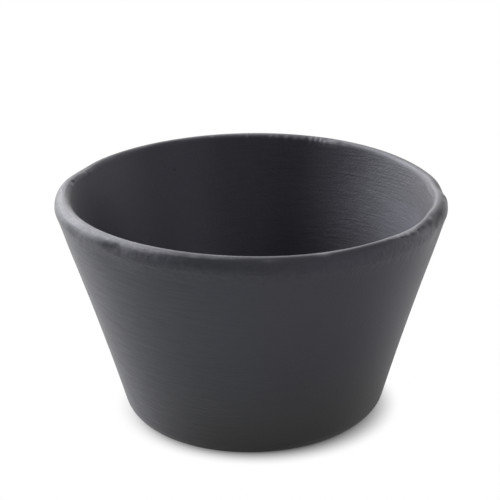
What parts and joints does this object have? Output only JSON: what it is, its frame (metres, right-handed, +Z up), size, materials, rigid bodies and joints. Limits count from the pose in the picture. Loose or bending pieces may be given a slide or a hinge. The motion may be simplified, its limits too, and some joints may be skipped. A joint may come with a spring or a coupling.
{
  "type": "ramekin",
  "caption": "Small flared ceramic baking dish with a straight leaning wall, a soft rolled hand-shaped lip and a shallow foot ring.",
  "frame": {"origin": "middle of the foot, on the surface that the dish stands on", "axes": "+Z up along the dish's axis, +X to the right and -Y to the front as the picture shows it"},
  "size_m": [0.0858, 0.0861, 0.0512],
  "materials": {
    "fired_ceramic": "matt charcoal black, unglazed look, faint turning lines, lip rubbed a little lighter"
  },
  "bodies": {
    "root": {"ramekin_body": "fired_ceramic"}
  },
  "joints": []
}
